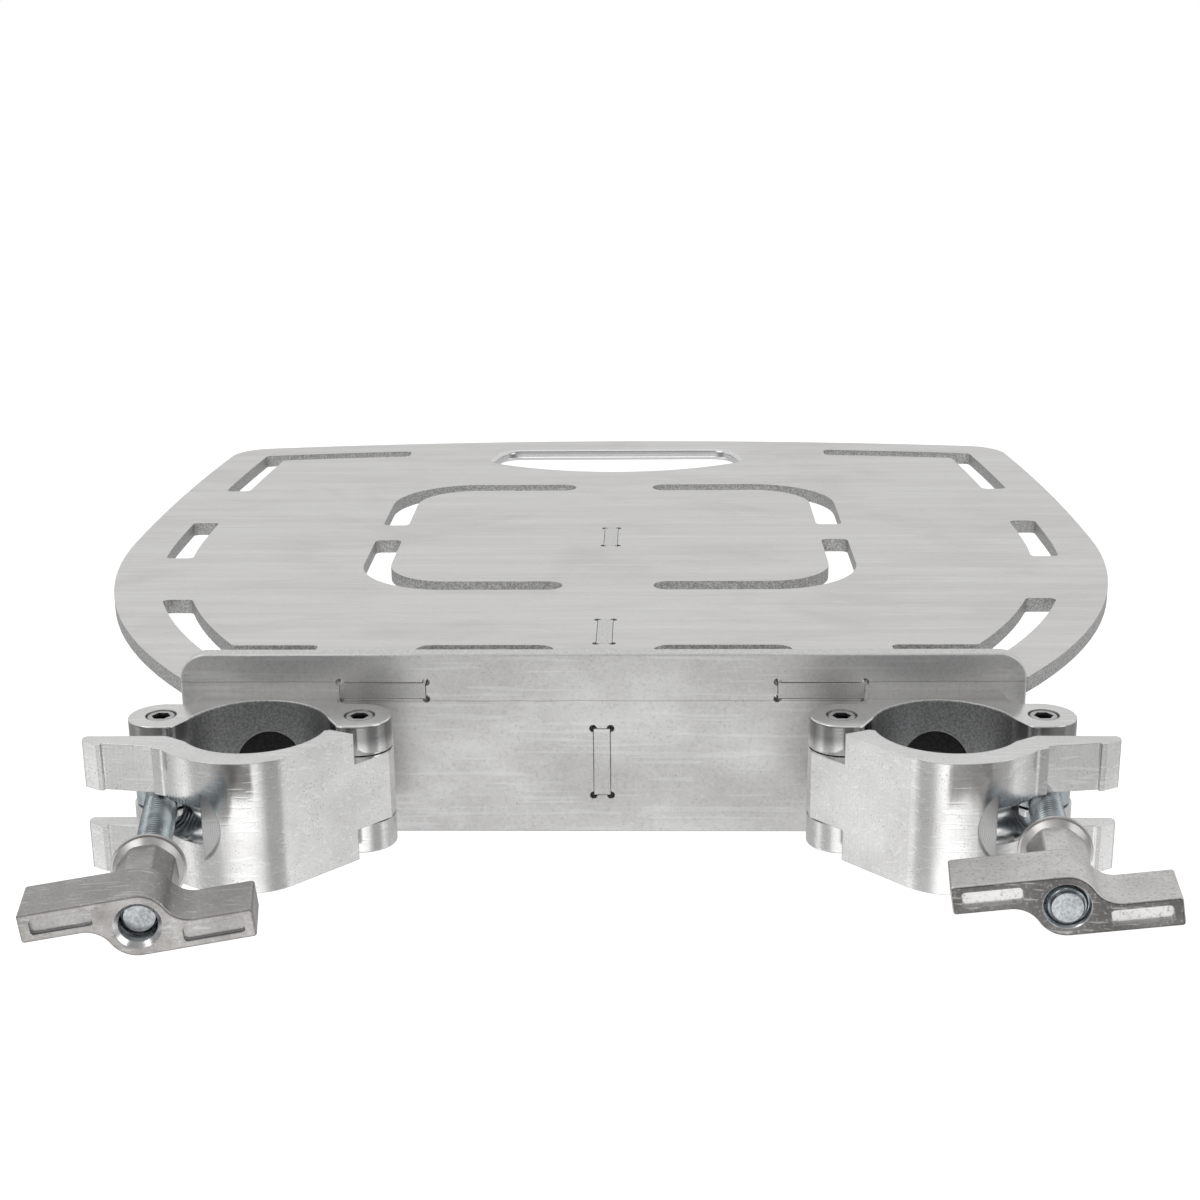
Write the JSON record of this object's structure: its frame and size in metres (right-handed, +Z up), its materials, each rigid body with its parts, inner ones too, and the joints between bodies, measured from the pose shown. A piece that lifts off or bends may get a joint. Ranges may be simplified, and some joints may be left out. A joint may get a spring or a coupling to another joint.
{
  "type": "truss-mounted equipment shelf",
  "caption": "Flat slotted aluminium shelf on a tabbed front plate, held on two parallel vertical truss tubes by hinged half couplers with swing bolts and wing nuts.",
  "frame": {"origin": "midway between the axes of the two truss tubes, at mid-height of the clamps", "axes": "+X to the right across the two tubes, +Y away from the tubes over the shelf, +Z up along the tubes"},
  "size_m": [0.4368, 0.5392, 0.07],
  "materials": {
    "shelf_aluminium": "mill finish sheet with faint horizontal streaks",
    "plate_aluminium": "bright rolled sheet with fine scratches",
    "weld_metal": "rippled weld bead",
    "clamp_aluminium": "tumbled extruded alloy, polished sawn faces",
    "pin_steel": "bright turned steel",
    "zinc_steel": "bluish zinc plating",
    "nut_alloy": "satin cast alloy, slightly warm",
    "black_steel": "black oxide",
    "nylon": "moulded nylon ring"
  },
  "bodies": {
    "frame": {"shelf_plate": "shelf_aluminium", "front_plate": "plate_aluminium", "centre_rib": "shelf_aluminium", "shelf_weld_beads": "weld_metal", "rib_weld_beads": "weld_metal", "left_clamp_saddle": "clamp_aluminium", "left_hinge_pin": "pin_steel", "left_bolt_pin": "pin_steel", "left_mounting_screw": "black_steel", "left_mounting_washer": "zinc_steel", "left_mounting_nut": "zinc_steel", "left_nut_lock_ring": "nylon", "right_clamp_saddle": "clamp_aluminium", "right_hinge_pin": "pin_steel", "right_bolt_pin": "pin_steel", "right_mounting_screw": "black_steel", "right_mounting_washer": "zinc_steel", "right_mounting_nut": "zinc_steel", "right_nut_lock_ring": "nylon"},
    "left_jaw": {"left_clamp_jaw": "clamp_aluminium"},
    "left_bolt": {"left_swing_bolt": "zinc_steel"},
    "left_washer": {"left_domed_washer": "zinc_steel"},
    "left_nut": {"left_wing_nut": "nut_alloy"},
    "right_jaw": {"right_clamp_jaw": "clamp_aluminium"},
    "right_bolt": {"right_swing_bolt": "zinc_steel"},
    "right_washer": {"right_domed_washer": "zinc_steel"},
    "right_nut": {"right_wing_nut": "nut_alloy"}
  },
  "joints": [
    {"name": "left_jaw_hinge", "type": "hinge", "parent": "frame", "child": "left_jaw", "pos_m": [-0.0848, 0.0107, 0], "axis": [0, 0, 1], "range_deg": [0, 84]},
    {"name": "left_bolt_swing", "type": "hinge", "parent": "frame", "child": "left_bolt", "pos_m": [-0.1552, 0.0107, 0], "axis": [0, 0, -1], "range_deg": [0, 105]},
    {"name": "left_nut_travel", "type": "slide", "parent": "left_bolt", "child": "left_washer", "axis": [0.1616, -0.9869, 0], "range_m": [-0.02455, 0.01055]},
    {"name": "left_nut_spin", "type": "hinge", "parent": "left_washer", "child": "left_nut", "pos_m": [-0.1552, 0.0107, 0], "axis": [0.1616, -0.9869, 0], "range_deg": [-5040, 2160]},
    {"name": "right_jaw_hinge", "type": "hinge", "parent": "frame", "child": "right_jaw", "pos_m": [0.0848, 0.0107, 0], "axis": [0, 0, -1], "range_deg": [0, 84]},
    {"name": "right_bolt_swing", "type": "hinge", "parent": "frame", "child": "right_bolt", "pos_m": [0.1552, 0.0107, 0], "axis": [0, 0, 1], "range_deg": [0, 105]},
    {"name": "right_nut_travel", "type": "slide", "parent": "right_bolt", "child": "right_washer", "axis": [-0.108, -0.9942, 0], "range_m": [-0.01405, 0.01055]},
    {"name": "right_nut_spin", "type": "hinge", "parent": "right_washer", "child": "right_nut", "pos_m": [0.1552, 0.0107, 0], "axis": [-0.108, -0.9942, 0], "range_deg": [-2880, 2160]}
  ],
  "couplings": [
    {"joint": "left_bolt_swing", "follows": "left_jaw_hinge", "ratio": 1.25},
    {"joint": "left_nut_travel", "follows": "left_nut_spin", "m_per_rad": 0.00027852},
    {"joint": "right_bolt_swing", "follows": "right_jaw_hinge", "ratio": 1.25},
    {"joint": "right_nut_travel", "follows": "right_nut_spin", "m_per_rad": 0.00027852}
  ]
}
